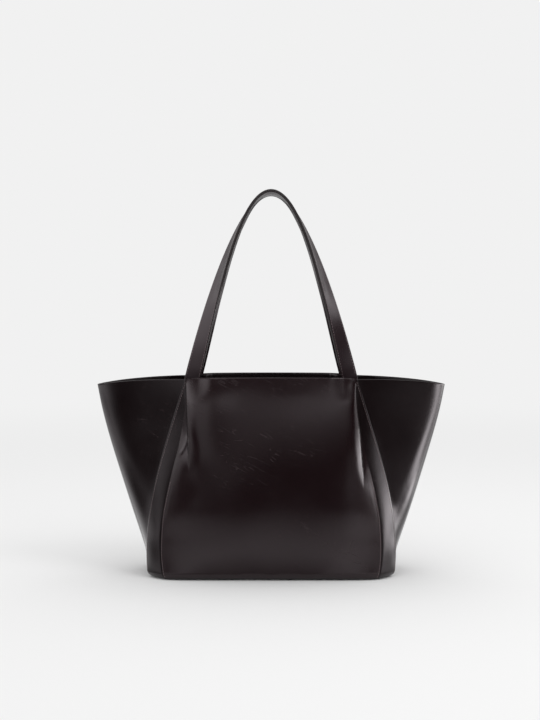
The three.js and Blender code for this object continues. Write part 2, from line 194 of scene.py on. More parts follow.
# %% Box calf
PORE = 0.9 * MM
PEBBLE = 11 * MM
CLOUD = 85 * MM
# Paler than the leather: the colour of the painted highlight along the creases.
CREASE_HIGHLIGHT_COLOUR = "#2b2022"


def box_calf(name, colour, gloss, creased):
    material = new_finish(name)
    place = node(material, "ShaderNodeTexCoord").outputs["Object"]
    clouds = node(
        material, "ShaderNodeTexNoise", Vector=place, Scale=1 / CLOUD, Detail=3.0, Roughness=0.5
    ).outputs[0]
    pores = node(material, "ShaderNodeTexVoronoi", Vector=place, Scale=1 / PORE, Randomness=0.9)
    pebbles = node(
        material, "ShaderNodeTexNoise", Vector=place, Scale=1 / PEBBLE, Detail=2.0, Roughness=0.45
    ).outputs[0]
    creases = creases_in_patches(material, place, clouds, pebbles)
    grain = node(
        material, "ShaderNodeBump", Strength=0.08, Distance=0.05 * MM, Height=pores.outputs["Distance"]
    ).outputs[0]
    grain = node(
        material, "ShaderNodeBump", Strength=0.2, Distance=0.35 * MM, Height=pebbles, Normal=grain
    ).outputs[0]
    grain = node(
        material, "ShaderNodeBump", {"invert": True}, Strength=creased, Distance=0.25 * MM, Height=creases,
        Normal=grain,
    ).outputs[0]
    rough = node(
        material, "ShaderNodeMapRange", Value=clouds, _1=0.3, _2=0.7, _3=gloss - 0.04, _4=gloss + 0.05
    ).outputs[0]
    worn = node(
        material, "ShaderNodeMath", {"operation": "MULTIPLY_ADD"}, _0=creases, _1=0.1, _2=rough
    ).outputs[0]
    tone = node(
        material, "ShaderNodeMix", {"data_type": "RGBA"}, _0=clouds, _6=linear(colour),
        _7=linear(colour, 1.5),
    ).outputs[2]
    # The creases are mixed towards the paler colour: a painted highlight along each crease line, on top of
    # its real bump.
    tone_with_crease_highlight = node(
        material, "ShaderNodeMix", {"data_type": "RGBA"}, _0=creases, _6=tone, _7=linear(CREASE_HIGHLIGHT_COLOUR)
    ).outputs[2]
    return dress(
        material, Base_Color=tone_with_crease_highlight, Roughness=worn, IOR=1.49, Specular_Tint=(1.0, 0.92, 0.96, 1),
        Normal=grain,
    )


calf = box_calf("box calf, dark burgundy", "#14080a", 0.22, 0.45)
calf_plain = box_calf("box calf, little handled", "#0f0809", 0.19, 0.08)
strap_calf = box_calf("box calf of the straps", "#1a0f12", 0.28, 0.1)
print("leather finishes:", calf.name, "|", calf_plain.name, "|", strap_calf.name)

# %% [markdown]
# ## The small finishes
# Cut edges are sealed with a brown-black paint that dries dull. The thread is bonded polyester, paler than
# the leather. The patches are suede split, the base board is pressed fibre, and the snap is nickel on
# steel. Each is one colour that a fine speckle breaks up.

# %% Edge paint, thread, split, board and nickel


def speckled(name, colour, roughness, grain, depth, metallic=0.0):
    material = new_finish(name)
    place = node(material, "ShaderNodeTexCoord").outputs["Object"]
    speckle = node(material, "ShaderNodeTexNoise", Vector=place, Scale=1 / grain, Detail=3.0).outputs[0]
    bump = node(material, "ShaderNodeBump", Strength=0.4, Distance=depth, Height=speckle).outputs[0]
    tone = node(
        material, "ShaderNodeMix", {"data_type": "RGBA"}, _0=speckle, _6=linear(colour),
        _7=linear(colour, 1.4),
    ).outputs[2]
    return dress(material, Base_Color=tone, Roughness=roughness, Metallic=metallic, Normal=bump)


edge_paint = speckled("acrylic edge paint, brown black", "#1a1112", 0.5, 1.2 * MM, 0.05 * MM)
thread = speckled("bonded polyester thread", "#625456", 0.36, 0.3 * MM, 0.08 * MM)
suede = speckled("suede split", "#2b2021", 0.9, 0.8 * MM, 0.15 * MM)
board = speckled("pressed fibre board", "#6b5a48", 0.9, 1.5 * MM, 0.2 * MM)
nickel = speckled("nickel plate", "#b9b4ab", 0.28, 3 * MM, 0.02 * MM, metallic=1.0)
print("small finishes:", [finish.name for finish in (edge_paint, thread, suede, board, nickel)])

# %% [markdown]
# ## Cotton twill
# The lining is a plain twill. Its slanting ribs are under a millimetre apart in real cloth and drawn wider
# here, 3.2 mm along a thread, so that they show. They follow the cut of the cloth, so the pattern reads the
# piece's own UV map, which counts in metres of cloth on the walls. The wave texture repeats after 0.628 of
# its units.

# %% Cotton twill
RIB = 3.2 * MM
WAVE_REPEAT = 0.628
SLUB = 14 * MM

twill = new_finish("cotton twill lining")
cloth_place = node(twill, "ShaderNodeTexCoord").outputs["UV"]
ribs = node(
    twill, "ShaderNodeTexWave", {"bands_direction": "DIAGONAL"}, Vector=cloth_place, Scale=WAVE_REPEAT / RIB,
    Distortion=0.6, Detail=1.0,
).outputs["Fac"]
slubs = node(twill, "ShaderNodeTexNoise", Vector=cloth_place, Scale=1 / SLUB, Detail=2.0).outputs["Color"]
rib_bump = node(twill, "ShaderNodeBump", Strength=0.5, Distance=0.15 * MM, Height=ribs).outputs[0]
rib_tone = node(
    twill, "ShaderNodeMix", {"data_type": "RGBA"}, _0=ribs, _6=linear("#382e2d"), _7=linear("#574a47")
).outputs[2]
cloth_tone = node(
    twill, "ShaderNodeMix", {"data_type": "RGBA", "blend_type": "MULTIPLY"}, _0=0.35, _6=rib_tone, _7=slubs
).outputs[2]
dress(twill, Base_Color=cloth_tone, Roughness=0.85, Normal=rib_bump)
print("cloth finish:", twill.name)

# %% [markdown]
# ## The cut of the bag
# A bag's shape is the shape of its seams. These functions give each seam as a curve over the height, from 0
# at the base to 1 at the rim, in millimetres, and then each piece as a curve seen from above that slides up
# along its seams. Whole arrays of points go through them at once.

# %% Sizes of the cut, in millimetres and degrees
RIM_HEIGHT = 283.0
ROOT_DROP = 3.0
TIP_DROP = 13.0
BOTTOM_RADIUS = 10.0
PANEL_BASE_DEPTH = 75.0
STRIP_BASE_HALF = 175.0
STRIP_BASE_DEPTH = 43.0
STRIP_RIM_HALF = 121.0
STRIP_RIM_ANGLE = 12.0
TIP_BASE_HALF = 167.0
CORNER_ANGLE = 33.0
LEATHER = 1.6
GAP = 0.3
PLY = LEATHER + 2 * GAP
SEAM_GAP = 0.8
LAP = 6.0
PLEAT = 18.0

# %% Small curves


def bezier(a, b, c, d, t):
    r = 1 - t
    return a * r**3 + 3 * b * t * r**2 + 3 * c * t**2 * r + d * t**3


def mix(a, b, t):
    return a + (b - a) * t


def smooth(value, low, high):
    t = np.clip((value - low) / (high - low), 0, 1)
    return t * t * (3 - 2 * t)


def from_table(value, table):
    return np.interp(value, list(table), list(table.values()))


def heading(degrees):
    return np.cos(np.radians(degrees)), np.sin(np.radians(degrees))


# %% Seam lines


def panel_edge(v):
    return bezier(150.0, 172.0, 112.0, 120.0, v)


def strip_angle(v):
    return mix(48.5, STRIP_RIM_ANGLE, v)


def strip_bow(v):
    return 11.0 * (1 - v)


def strip_edge(v):
    return bezier(STRIP_BASE_HALF, 185.0, 150.0, STRIP_RIM_HALF, v), -mix(STRIP_BASE_DEPTH, 49.5, v)


def on_strip(x, v):
    edge_x, edge_y = strip_edge(v)
    return edge_y - (edge_x - x) * np.tan(np.radians(strip_angle(v)))


def strip_inner(v):
    """Where a strip begins: beside the panel low down, and under its pleat towards the rim."""
    return panel_edge(v) - mix(-SEAM_GAP, PLEAT, smooth(v, 0.42, 0.95))


def wing_tip(v):
    return bezier(TIP_BASE_HALF, 201.0, 233.0, 249.5, v)


# %% A panel seen from above


def panel_plan(u, v):
    """A panel's points, u from -1 at its left seam to 1 at its right, and the way its foot rolls under."""
    half, side = np.abs(u), np.sign(u)
    edge = panel_edge(v)
    middle = -bezier(PANEL_BASE_DEPTH, 98.0, 102.0, 57.0, v)
    end_angle = mix(25.0, 88.0, smooth(v, 0.38, 0.8))
    lean = np.cos(np.radians(end_angle - strip_angle(v)))
    lift = smooth(v, 0.2, 0.36) * (2 * GAP + LEATHER * np.maximum(0, lean))
    along_x, along_y = heading(strip_angle(v))
    end_x, end_y = edge + along_y * lift, on_strip(edge, v) - along_x * lift
    reach = mix(20.0, 0.72 * (end_y - middle) + 3, smooth(v, 0.2, 0.7))
    turn_x, turn_y = heading(end_angle)
    fullness = mix(0.7, 0.85, smooth(v, 0.45, 0.9))
    x = bezier(0.0, fullness * edge, np.maximum(end_x - turn_x * reach, 0.6 * edge), end_x, half)
    y = bezier(middle, middle, np.maximum(end_y - turn_y * reach, middle - 1), end_y, half)
    roll = np.radians(CORNER_ANGLE * smooth(half, 0.55, 1))
    return side * x, y, side * np.sin(roll), -np.cos(roll)


# %% A strip and a gusset seen from above


def strip_plan(u, v):
    """A right-hand front strip's points, u from 0 at the panel to 1 at its outer edge."""
    edge_x, edge_y = strip_edge(v)
    start_x = strip_inner(v)
    start_y = on_strip(start_x, v)
    length = np.hypot(edge_x - start_x, edge_y - start_y)
    bulge = u * (1 - u) * np.tan(np.radians(strip_bow(v))) * length
    along_x, along_y = heading(strip_angle(v))
    roll_x, roll_y = heading(mix(CORNER_ANGLE, strip_angle(v) + strip_bow(v), u))
    x = mix(start_x, edge_x, u) + along_y * bulge
    y = mix(start_y, edge_y, u) - along_x * bulge
    return x, y, roll_y, -roll_x


def gusset_plan(u, v):
    """The right gusset's points, u from 0 behind the front strip round the wing to 1 behind the back one."""
    half, way = 1 - np.abs(2 * u - 1), np.where(u > 0.5, -1.0, 1.0)
    edge_x, edge_y = strip_edge(v)
    inner_x = strip_inner(v)
    lap = LAP / np.hypot(edge_x - inner_x, edge_y - on_strip(inner_x, v))
    angle = strip_angle(v) + strip_bow(v) * (1 - 2 * lap)
    lap_x, lap_y, _, _ = strip_plan(1 - lap, v)
    along_x, along_y = heading(angle)
    start_x, start_y = lap_x - along_y * PLY, lap_y + along_x * PLY
    tip = wing_tip(v)
    reach = np.hypot(tip - start_x, start_y) - LAP
    leave = LAP + reach * mix(0.14, 0.62, smooth(v, 0.3, 1.05))
    round_off = mix(0.56, 0.14, smooth(v, 0.3, 1.0))
    x = bezier(start_x, start_x + along_x * leave, tip, tip, half)
    y = bezier(start_y, start_y + along_y * leave, -reach * round_off, 0.0, half)
    roll_x, roll_y = heading(mix(angle, 90.0, half))
    return x, way * y, roll_y, -way * roll_x


# %% Walls from rolled bottom to rim
SEWN_WIDE = 20.0
SEWN_FROM = 231.0
SEWN_TO = 276.0


def panel_rim(u):
    return RIM_HEIGHT - ROOT_DROP * u * u


def strip_rim(u):
    return RIM_HEIGHT - ROOT_DROP + 0 * u


def gusset_rim(u):
    return RIM_HEIGHT - mix(ROOT_DROP, TIP_DROP, smooth(1 - np.abs(2 * u - 1), 0.0, 1.0))


def wall(plan, rim, u, w, lift=0.0):
    """Points of a wall in millimetres: w from 0 at the edge rolled under the base to 1 at the rim."""
    radius, height = BOTTOM_RADIUS - lift, rim(u)
    arc = radius * math.pi / 2
    along = w * (arc + height - BOTTOM_RADIUS)
    turn = np.clip(along / radius, 0, math.pi / 2)
    z = np.where(along < arc, lift + radius * (1 - np.cos(turn)), BOTTOM_RADIUS + along - arc)
    x, y, roll_x, roll_y = plan(u, z / height)
    tuck = radius * (1 - np.sin(turn))
    return np.stack([x - roll_x * tuck, y - roll_y * tuck, z], axis=-1)


def press_to_strap(points):
    """At the rim the layers beside a strap end are sewn through together, so they lie flat against it."""
    beside = np.clip(STRIP_RIM_HALF - np.abs(points[:, 0]), 0, SEWN_WIDE)
    short = beside * math.tan(math.radians(STRIP_RIM_ANGLE))
    points[:, 1] -= np.sign(points[:, 1]) * short * smooth(points[:, 2], SEWN_FROM, SEWN_TO)
    return points


wing_height = float(gusset_rim(np.array(0.5)))
print("the rim runs from", panel_rim(0.0), "mm in the middle to", wing_height, "mm at a wing")

# %% [markdown]
# ## Making a sheet
# A soft sheet starts as Blender's own grid, flat and square, whose vertices are then carried to their
# places on the curved wall. Its UV map is stretched to metres where a pattern reads it. Solidify gives the
# thickness towards the inside, and a small bevel rounds the cut edges so that they catch a line of light. A
# piece on another side of the bag is the same shape mirrored.

# %% Shaped grids
surfaces = {}


def shaped_grid(name, columns, rows, place):
    deselect()
    bpy.ops.mesh.primitive_grid_add(x_subdivisions=columns, y_subdivisions=rows, size=2)
    made = bpy.context.object
    made.name = made.data.name = name
    flat = np.empty(len(made.data.vertices) * 3)
    made.data.vertices.foreach_get("co", flat)
    flat = flat.reshape(-1, 3)
    points = place(flat[:, 0], (flat[:, 1] + 1) / 2)
    made.data.vertices.foreach_set("co", (points * MM).ravel())
    made.data.update()
    surfaces[name] = place
    return made


def placed(points_of, flip_x, flip_y):
    """A shape on its side of the bag. A single mirror walks the grid the other way, so it faces out."""
    signs = np.array([-1.0 if flip_x else 1.0, -1.0 if flip_y else 1.0, 1.0])

    def place(g, w):
        return points_of(-g if flip_x != flip_y else g, w) * signs

    return place


def turned(points_of, where):
    """The back and left pieces are the front and right ones turned round."""
    round_about = where in ("back", "left")
    return placed(points_of, round_about, round_about)


# %% Thickness and handing over
SHARP_FROM = math.radians(50)
SMOOTH_UP_TO = math.radians(60)


def apply_all(made):
    deselect()
    made.select_set(True)
    bpy.context.view_layer.objects.active = made
    for modifier in list(made.modifiers):
        bpy.ops.object.modifier_apply(modifier=modifier.name)


def thicken(made, thickness, finish, edge_finish, edge_round=0.4, weights=None):
    skin = made.modifiers.new("thickness", "SOLIDIFY")
    skin.thickness = thickness * MM
    skin.offset = -1
    skin.material_offset_rim = 1
    if weights:
        skin.vertex_group = weights
    made.data.materials.append(finish)
    made.data.materials.append(edge_finish)
    soft = made.modifiers.new("rounded edges", "BEVEL")
    soft.width = edge_round * MM
    soft.segments = 2
    soft.limit_method = "ANGLE"
    soft.angle_limit = SHARP_FROM
    apply_all(made)
    bpy.ops.object.shade_smooth_by_angle(angle=SMOOTH_UP_TO)


def keep(made, body, slot, *nodes):
    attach(made, body)
    if nodes:
        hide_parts(*nodes)
    print(made.name, "has", len(made.data.polygons), "faces")


# %% [markdown]
# ## Front and back panels
# Each panel is wider than the rim it is sewn to, so the spare leather is laid in one pleat beside each
# strap. The belly rolls over that pleat as a fold, square at the rim and fading lower down, and the leather
# behind the fold runs flat to the seam. The two pleats of the real bag differ: the left one ends higher, in
# a soft valley. The strap ends draw the rim in, and the leather swells a little beside them.

# %% Pleats
# How far out each fold lies at some heights, all in millimetres.
LEFT_FOLD = {115: 113.0, 155: 114.5, 210: 117.5, 283: 120.0}
RIGHT_FOLD = {120: 128.5, 145: 128.5, 175: 127.0, 235: 122.7, 283: 120.5}


def pleat(z, left):
    """Over the height: how far out a pleat's fold lies, how square its roll is and how strong it is."""
    if left:
        return from_table(z, LEFT_FOLD), mix(3.0, 5.2, smooth(z, 150, 260)), smooth(z, 150, 220)
    return from_table(z, RIGHT_FOLD), mix(1.7, 5.5, smooth(z, 108, 318)), smooth(z, 126, 170)


def lay_pleats(points, v):
    """Rolls the belly over each fold and runs the leather behind it flat to the seam."""
    x, y, z = points[:, 0], points[:, 1], points[:, 2]
    far = np.abs(x)
    middle = panel_plan(0 * v, v)[1]
    end_x, end_y, _, _ = panel_plan(np.ones_like(v), v)
    for left in (True, False):
        out, square, strength = pleat(z, left)
        out = np.minimum(out, end_x - 0.2)
        foot = end_y - (end_x - out) * np.tan(np.radians(0.6 * strip_angle(v)))
        belly = foot - (foot - middle) * (1 - np.clip(far / out, 0, 1) ** square) ** (1 / square)
        behind = mix(foot, end_y, np.clip((far - out) / (end_x - out), 0, 1))
        share = strength * (x < 0 if left else x > 0) * smooth(far, 40, 80)
        y += (np.where(far < out, belly, behind) - y) * share


# %% Swellings and the pull of the straps
# Where the left pleat's tuck lies across the panel at some heights, all in millimetres.
LEFT_TUCK = {176: -127.0, 184: -122.0, 192: -118.5, 202: -116.5}
STRAP_PULL = 4.7
STRAP_PULL_LIMIT = -51.6


def swelling(points, x, z, wide, tall, high):
    return high * np.exp(-(((points[:, 0] - x) / wide) ** 2) - ((points[:, 2] - z) / tall) ** 2)


def shape_near_pleats(points):
    """Two swellings below the rim, the valley under the left pleat, and the small tuck that ends it."""
    x, y, z = points[:, 0], points[:, 1], points[:, 2]
    y -= swelling(points, 111, 276, 7, 8, 1.0) + swelling(points, -82, 252, 27, 34, 3.5)
    valley = 1.7 * np.exp(-(((x + 116) / 13) ** 2)) * smooth(z, 105, 150) * (1 - smooth(z, 182, 215))
    tuck_from = (x - from_table(z, LEFT_TUCK)) / 2.2
    tuck = 1.2 * np.exp(-(tuck_from**2)) * smooth(z, 172, 180) * (1 - smooth(z, 196, 206))
    y += valley - tuck


def pull_to_straps(points):
    """Draws the rim in at the strap ends, but never through them."""
    y = points[:, 1]
    pulled = y + STRAP_PULL * smooth(np.abs(points[:, 0]), 80, 104) * smooth(points[:, 2], 246, 282)
    y[:] = np.maximum(y, np.minimum(pulled, STRAP_PULL_LIMIT))


# %% Panels
PANEL_COLUMNS = 190
PANEL_ROWS = 130
CROWD_TO_SEAMS = 1.5


def panel_points(g, w):
    u = np.sign(g) * (1 - (1 - np.abs(g)) ** CROWD_TO_SEAMS)
    points = wall(panel_plan, panel_rim, u, w)
    x, y, z = points[:, 0], points[:, 1], points[:, 2]
    lay_pleats(points, z / panel_rim(u))
    inside = smooth(1 - np.abs(u), 0.0, 0.12) * smooth(w, 0.06, 0.2) * smooth(1 - w, 0.0, 0.1)
    y += inside * (0.5 * np.sin(x / 41 + z / 63 + 0.6) + 0.4 * np.sin(x / 23 - z / 47 + 2.0))
    shape_near_pleats(points)
    pull_to_straps(points)
    return points


for face in ("front", "back"):
    panel = shaped_grid(face + "_panel_leather", PANEL_COLUMNS, PANEL_ROWS, turned(panel_points, face))
    thicken(panel, LEATHER, calf, edge_paint, 0.7)
    keep(panel, "body", "dark_leather", face + "_panel")

# %% [markdown]
# ## Side strips
# A strip is a narrow band that laps over the gusset behind it and is stitched close to its edge, so the
# leather stands a little proud between its seams. Four come from one shape, mirrored.

# %% Strips
STRIP_COLUMNS = 16
WALL_ROWS = 130
STRIP_CROWN = 0.45


def strip_points(g, w):
    u = (g + 1) / 2
    points = press_to_strap(wall(strip_plan, strip_rim, u, w))
    along_x, along_y = heading(strip_angle(points[:, 2] / RIM_HEIGHT))
    crown = STRIP_CROWN * np.sqrt(np.clip(np.sin(u * math.pi), 0, 1)) * smooth(1 - w, 0.0, 0.1)
    points[:, 0] += along_y * crown
    points[:, 1] -= along_x * crown
    return points


for face in ("front", "back"):
    for side in ("left", "right"):
        place = placed(strip_points, side == "left", face == "back")
        strip = shaped_grid(face + "_" + side + "_strip_leather", STRIP_COLUMNS, WALL_ROWS, place)
        thicken(strip, LEATHER, calf_plain, edge_paint)
        keep(strip, "body", "dark_leather", face + "_" + side + "_strip")

# %% [markdown]
# ## Gussets
# A gusset is one wide piece from strip to strip: it faces sideways at the base and opens into a wing
# towards the rim. Nothing holds it between its seams, so it waves by a fraction of a millimetre. Beside one
# strip of the two, the front one on the right and the back one on the left, the seam has drawn it in by a
# millimetre.

# %% Gussets
GUSSET_COLUMNS = 150
GUSSET_WAVE = 0.6
DRAWN_IN = 1.1
DRAWN_WIDE = 9.0


def gusset_points(g, w):
    points = press_to_strap(wall(gusset_plan, gusset_rim, (g + 1) / 2, w, lift=PLY))
    x, y, z = points[:, 0], points[:, 1], points[:, 2]
    inside = smooth(1 - np.abs(g), 0.0, 0.15) * smooth(w, 0.05, 0.2) * smooth(1 - w, 0.0, 0.12)
    x += inside * (GUSSET_WAVE * np.sin(z / 31 + y / 17) - GUSSET_WAVE / 2)
    from_strip = (x - strip_edge(z / RIM_HEIGHT)[0]) / DRAWN_WIDE
    drawn_in = DRAWN_IN * np.exp(-(from_strip**2)) * smooth(z, 70, 125) * (1 - smooth(z, 140, 200))
    y += np.where(y < 0, drawn_in, 0.0)
    return points


for side in ("left", "right"):
    gusset = shaped_grid(side + "_gusset_leather", GUSSET_COLUMNS, WALL_ROWS, turned(gusset_points, side))
    thicken(gusset, LEATHER, calf_plain, edge_paint, 0.7)
    keep(gusset, "body", "dark_leather", side + "_gusset")

# %% [markdown]
# ## Facings
# Inside the rim runs a band of the same leather. At the front and back it lies against the panel and steps
# back over the strap ends, which it hides; in the wings it follows the gusset. Each band is a grid like the
# walls. The wing bands are the gusset's own curve, moved inwards along its normals.

# %% Facings of the panels
FACING = 1.2
FACING_DEPTH = 42.0
FACING_FOOT = RIM_HEIGHT - FACING_DEPTH
FACING_MIDDLE = -54.48
FACING_ROOT = -40.9
STEP_FROM = 86.0
STEP_TO = 97.0
FACING_COLUMNS = 150
FACING_ROWS = 16


def facing_points(g, w):
    z = mix(FACING_FOOT, panel_rim(g), w)
    x = g * strip_edge(z / (RIM_HEIGHT - ROOT_DROP))[0]
    depth = mix(FACING_MIDDLE, FACING_ROOT, smooth(np.abs(x), STEP_FROM, STEP_TO))
    near = 0.7 * smooth(z, 262, 280) * smooth(STEP_FROM - np.abs(x), 0, 20)
    return np.stack([x, depth - near, z], axis=-1)


for face in ("front", "back"):
    facing = shaped_grid(face + "_facing_leather", FACING_COLUMNS, FACING_ROWS, turned(facing_points, face))
    thicken(facing, FACING, calf_plain, edge_paint, 0.5)
    keep(facing, "body", "dark_leather", face + "_facing")

# %% Facings of the wings
WING_INSET = LEATHER + 3 * GAP
WING_COLUMNS = 110

half_row = np.linspace(0, 0.5, 400)
half_row_x = gusset_plan(half_row, FACING_FOOT / gusset_rim(half_row))[0]
wing_from = strip_edge(FACING_FOOT / (RIM_HEIGHT - ROOT_DROP))[0] + 2 * SEAM_GAP
WING_START = float(np.interp(wing_from, half_row_x, half_row))


def normals_of(place, g, w, step=1e-3):
    across = place(g + step, w) - place(g - step, w)
    upward = place(g, w + step) - place(g, w - step)
    normal = np.cross(across, upward)
    return normal / np.linalg.norm(normal, axis=1, keepdims=True)


def wing_outside(g, w):
    u = 0.5 + g * (0.5 - WING_START)
    z = gusset_rim(u) - FACING_DEPTH * (1 - w)
    x, y, _, _ = gusset_plan(u, z / gusset_rim(u))
    return press_to_strap(np.stack([x, y, z], axis=-1))


def wing_points(g, w):
    return wing_outside(g, w) - WING_INSET * normals_of(wing_outside, g, w)


for side in ("left", "right"):
    facing = shaped_grid(side + "_facing_leather", WING_COLUMNS, FACING_ROWS, turned(wing_points, side))
    thicken(facing, FACING, calf_plain, edge_paint, 0.5)
    keep(facing, "body", "dark_leather", side + "_facing")

# %% [markdown]
# ## Lining
# The lining is a bag of twill sewn to the lower edge of the facings and to the bottom cloth, cut a little
# larger than the space, so it hangs in shallow waves. Each side is a ruled sheet from its foot to the
# facing, with waves that die out at the seams. The bottom cloth is cut to the base's outline.

# %% Shapes of the wall linings
LINING = 0.8
LINING_FOOT = 5.8
LINING_CLEARANCE = 9.0
CORNER_X = STRIP_BASE_HALF - LINING_CLEARANCE
CORNER_Y = -STRIP_BASE_DEPTH
BASE_DEPTH = LINING_CLEARANCE - PANEL_BASE_DEPTH
BASE_SIDE = TIP_BASE_HALF - LINING_CLEARANCE


def hang(foot, head, g, w, inward):
    """A ruled sheet from foot to head, with two shallow waves that die out at its seams."""
    points = mix(foot, head, w[:, None])
    loose = np.sin(math.pi * w) * smooth(1 - np.abs(g), 0.0, 0.1)
    waves = 0.9 * np.sin(9 * g + 2.5 * w) + 0.7 * np.sin(17 * g - 4 * w + 1.0) + 1.2
    return points + (loose * waves)[:, None] * inward


def lining_points(g, w):
    half, side = np.abs(g), np.sign(g)
    x = side * bezier(0.0, 0.7 * CORNER_X, 0.9 * CORNER_X, CORNER_X, half)
    y = bezier(BASE_DEPTH, BASE_DEPTH, BASE_DEPTH, CORNER_Y, half)
    foot = np.stack([x, y, LINING_FOOT + 0 * g], axis=-1)
    head = facing_points(g, np.zeros_like(g)) - np.array([0, -GAP, GAP])
    return hang(foot, head, g, w, np.array([0.0, 1.0, 0.0]))


def wing_lining_points(g, w):
    half, way = 1 - np.abs(g), np.where(g > 0, -1.0, 1.0)
    corner_x, corner_y = CORNER_X + SEAM_GAP, CORNER_Y + 2 * SEAM_GAP
    x = bezier(corner_x, corner_x, BASE_SIDE, BASE_SIDE, half)
    y = way * bezier(corner_y, 0.7 * corner_y, 0.35 * corner_y, 0.0, half)
    foot = np.stack([x, y, LINING_FOOT + 0 * g], axis=-1)
    head = wing_points(g, np.zeros_like(g)) - np.array([GAP, 0, GAP])
    return hang(foot, head, g, w, np.array([-1.0, 0.0, 0.0]))


# %% Wall linings
LINING_COLUMNS = 110
WING_LINING_COLUMNS = 90
LINING_ROWS = 60
LINING_FLAT = (0.345, 0.24)
WING_LINING_FLAT = (0.25, 0.25)

linings = []
for face in ("front", "back"):
    made = shaped_grid(face + "_lining_cloth", LINING_COLUMNS, LINING_ROWS, turned(lining_points, face))
    linings.append((made, face, LINING_FLAT))

for side in ("left", "right"):
    place = turned(wing_lining_points, side)
    made = shaped_grid(side + "_lining_cloth", WING_LINING_COLUMNS, LINING_ROWS, place)
    linings.append((made, side, WING_LINING_FLAT))

for lining, where, flat in linings:
    for loop in lining.data.uv_layers.active.data:
        loop.uv = (loop.uv[0] * flat[0], loop.uv[1] * flat[1])
    thicken(lining, LINING, twill, twill, 0.2)
    keep(lining, "body", "lining_cloth", where + "_lining")

# %% [markdown]
# ## Base
# Under the bag lies a flat leather base, and inside it a cloth bottom, both cut to the outline that the
# walls leave free. A filled circle is opened out to that outline. The fibre board between them is a rigid
# plate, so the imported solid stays.

# %% Base leather and bottom cloth
BOTTOM_CLOTH_TOP = 5.5


def base_outline(margin):
    panel_u, gusset_u = np.linspace(0, 1, 16)[1:], np.linspace(0.2, 0.5, 14)
    curves = [panel_plan(panel_u, 0 * panel_u), strip_plan(np.array([0.5, 1.0]), np.zeros(2))]
    curves.append(gusset_plan(gusset_u, 0 * gusset_u))
    drawn_in = [np.stack([c[0] - margin * c[2], c[1] - margin * c[3]], axis=-1) for c in curves]
    quarter = np.concatenate(drawn_in)
    right = np.concatenate([quarter, (quarter * np.array([1, -1]))[-2::-1]])
    return np.concatenate([right, -right])


def base_sheet(name, margin, top):
    outline = base_outline(margin)
    deselect()
    bpy.ops.mesh.primitive_circle_add(vertices=len(outline), radius=1, fill_type="NGON")
    made = bpy.context.object
    made.name = made.data.name = name
    for vertex, (x, y) in zip(made.data.vertices, outline):
        vertex.co = (x * MM, y * MM, top * MM)
    made.data.update()
    if made.data.polygons[0].normal.z < 0:
        made.data.flip_normals()
    return made


base = base_sheet("bottom_leather", BOTTOM_RADIUS + SEAM_GAP, LEATHER)
thicken(base, LEATHER, calf_plain, edge_paint)
keep(base, "body", "dark_leather", "bottom_panel")
bottom = base_sheet("bottom_lining_cloth", LINING_CLEARANCE + LINING, BOTTOM_CLOTH_TOP)
thicken(bottom, LINING, twill, twill, 0.2)
keep(bottom, "body", "lining_cloth", "bottom_lining")

# %% [markdown]
# ## Straps
# A strap is two plies of calf over a stiff core, glued and stitched, with painted edges. It leaves the rim
# facing the front and turns to face up over the top, where carrying has pressed a shallow valley along its
# middle. Its skived ends run down behind the rim. It bends where it leaves the rim.

# %% The line of a strap
STRAP_ROOT_HALF = 110.4
STRAP_DROP = 260.5
STRAP_LEG_LEAN = 24.0
STRAP_LEG_REACH = 94.0
STRAP_CROWN_REACH = 47.0
STRAP_CROWN_DEPTH = -13.5
TAB_MIDDLE = -43.5
TAB_LENGTH = 38.0
TAB_SHARE = 0.13
ROOT_Z = 282.5
STRAP_LEAN = math.atan2(STRAP_CROWN_DEPTH - TAB_MIDDLE, STRAP_DROP)
LEG_ANGLE = math.atan2(STRAP_LEG_LEAN, STRAP_LEG_REACH)


def strap_centre(s):
    """The middle line, s from -1 at the left root over the crown to 1 at the right root, and tabs beyond."""
    over = np.clip(np.abs(s) - 1, 0, None) * TAB_LENGTH / TAB_SHARE
    side, t = np.sign(s), 1 - np.clip(np.abs(s), 0, 1)
    rise = bezier(0.0, STRAP_LEG_REACH, STRAP_DROP, STRAP_DROP, t)
    x = bezier(STRAP_ROOT_HALF, STRAP_ROOT_HALF - STRAP_LEG_LEAN, STRAP_CROWN_REACH, 0.0, t)
    x = side * (x + over * math.sin(LEG_ANGLE))
    y = TAB_MIDDLE + rise * math.tan(STRAP_LEAN)
    z = ROOT_Z + rise - over * math.cos(LEG_ANGLE)
    return np.stack([x, y, z], axis=-1)


# %% Straps
STRAP_WIDTH = 21.5
STRAP_THICK = 4.3
TAB_THICK = 2.4
SKIVED = 14.0
VALLEY_ANGLE = math.radians(12)
CROWN_TWIST = math.radians(96)
STRAP_COLUMNS = 12
STRAP_ROWS = 260


def strap_points(g, w):
    s = mix(-1 - TAB_SHARE, 1 + TAB_SHARE, w)
    centre = strap_centre(s)
    tangent = strap_centre(s + 0.004) - strap_centre(s - 0.004)
    tangent /= np.linalg.norm(tangent, axis=1, keepdims=True)
    lean = STRAP_LEAN * smooth(1 + TAB_SHARE - np.abs(s), 0.0, 2 * TAB_SHARE)
    front = np.stack([0 * s, -np.cos(lean), np.sin(lean)], axis=-1)
    twist = (CROWN_TWIST * (1 - np.clip(np.abs(s), 0, 1) ** 1.6))[:, None]
    normal = front * np.cos(twist) + np.cross(front, tangent) * np.sin(twist)
    width = np.cross(tangent, normal)
    pressed = smooth(centre[:, 2], 380, 430) * (1 - 0.6 * smooth(centre[:, 2], 500, 530))
    valley = pressed * math.tan(VALLEY_ANGLE) * STRAP_WIDTH / 2
    thick = mix(STRAP_THICK, TAB_THICK, smooth(np.abs(s), 0.95, 1.0))
    height = thick / 2 + valley * (np.sqrt(g * g + 0.02) - 1)
    return centre + normal * height[:, None] + width * (g * STRAP_WIDTH / 2)[:, None]


